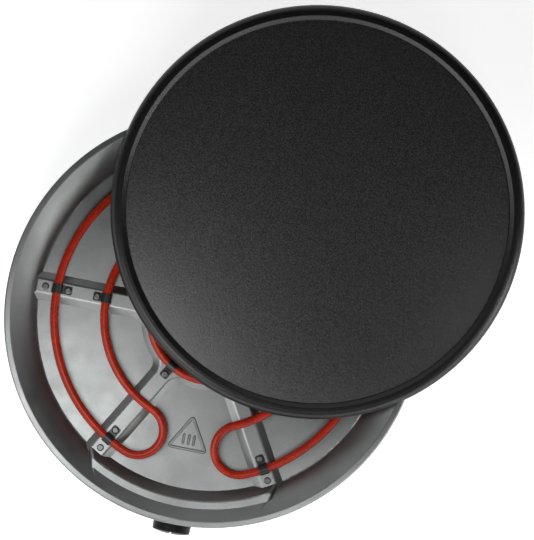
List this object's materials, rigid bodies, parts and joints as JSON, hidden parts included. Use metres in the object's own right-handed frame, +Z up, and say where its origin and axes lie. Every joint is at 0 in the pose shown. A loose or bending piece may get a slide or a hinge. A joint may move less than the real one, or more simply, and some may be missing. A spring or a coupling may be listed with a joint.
{
  "type": "hot plate burner",
  "caption": "Round electric crepe hot plate: a black non-stick griddle plate lies off its seat across a steel pan with a clipped red tubular element and a knob.",
  "frame": {"origin": "on the base's upright axis, in the plane its rubber feet stand on", "axes": "+Z up, -Y the front with the knob, +X to the right seen from the front"},
  "size_m": [0.3966, 0.4407, 0.0785],
  "materials": {
    "pan_steel": "satin aluminised steel",
    "housing_steel": "satin steel",
    "cover_steel": "grey zinc-coated steel",
    "nonstick": "cast aluminium with a fine-grained matte black non-stick coating",
    "element_red": "red coated steel tube",
    "clip_black": "blackened steel",
    "screw_steel": "bright zinc",
    "post_steel": "zinc-plated steel",
    "terminal_steel": "nickel-plated steel",
    "ceramic_white": "unglazed steatite",
    "brass": "machined",
    "bracket_steel": "zinc-plated steel",
    "blade_bronze": "rolled bronze strip",
    "bimetal": "rolled bimetal strip",
    "knob_black": "glossy moulded black",
    "pointer_white": "moulded inlay",
    "rubber_black": "moulded rubber",
    "fuse_metal": "bright can",
    "wire_brown": "silicone insulation",
    "wire_white": "glass-fibre and silicone sleeve",
    "wire_blue": "silicone insulation",
    "wire_green_yellow": "silicone insulation"
  },
  "bodies": {
    "base": {"element_pan": "pan_steel", "base_housing": "housing_steel", "bottom_cover": "cover_steel", "support_posts": "post_steel", "pan_screws": "screw_steel", "cover_screws": "screw_steel", "rubber_feet": "rubber_black", "foot_screws": "screw_steel", "heating_element": "element_red", "element_bushes": "terminal_steel", "element_beads": "ceramic_white", "element_pins": "terminal_steel", "push_on_terminals": "terminal_steel", "outer_clips": "clip_black", "middle_clips": "clip_black", "inner_clips": "clip_black", "clip_screws": "screw_steel", "cord_gland": "rubber_black", "thermostat_bracket": "bracket_steel", "spindle_bush": "brass", "bush_nut": "brass", "thermostat_stack": "ceramic_white", "contact_blade_root": "blade_bronze", "fixed_blade": "blade_bronze", "bimetal_strip": "bimetal", "stack_screw": "screw_steel", "thermal_fuse": "fuse_metal", "fuse_clamp": "bracket_steel", "earth_lug": "terminal_steel", "small_pan_screws": "screw_steel", "terminal_block": "ceramic_white", "block_screws": "brass", "live_wire": "wire_brown", "fuse_wire": "wire_white", "heater_wire": "wire_white", "neutral_wire": "wire_blue", "earth_wire": "wire_green_yellow"},
    "griddle_plate": {"griddle_plate": "nonstick"},
    "knob": {"knob": "knob_black", "knob_pointer": "pointer_white", "knob_spring": "terminal_steel", "spindle": "bracket_steel"},
    "adjusting_pin": {"adjusting_pin": "ceramic_white"},
    "contact_blade": {"contact_blade": "blade_bronze"}
  },
  "joints": [
    {"name": "plate_slide", "type": "slide", "parent": "base", "child": "griddle_plate", "axis": [-0.5461, -0.8377, 0], "range_m": [-0.215, 0.1198]},
    {"name": "knob_turn", "type": "hinge", "parent": "base", "child": "knob", "pos_m": [0, -0.165, 0.037], "axis": [0, 1, 0], "range_deg": [0, 270]},
    {"name": "pin_travel", "type": "slide", "parent": "base", "child": "adjusting_pin", "axis": [0, 1, 0], "range_m": [0, 0.000909]},
    {"name": "blade_flex", "type": "hinge", "parent": "base", "child": "contact_blade", "pos_m": [-0.0099, -0.1482, 0.037], "axis": [0, 0, 1], "range_deg": [0, 5.21]}
  ],
  "couplings": [
    {"joint": "pin_travel", "follows": "knob_turn", "m_per_rad": 0.00019099},
    {"joint": "blade_flex", "follows": "knob_turn", "ratio": 0.019099}
  ]
}
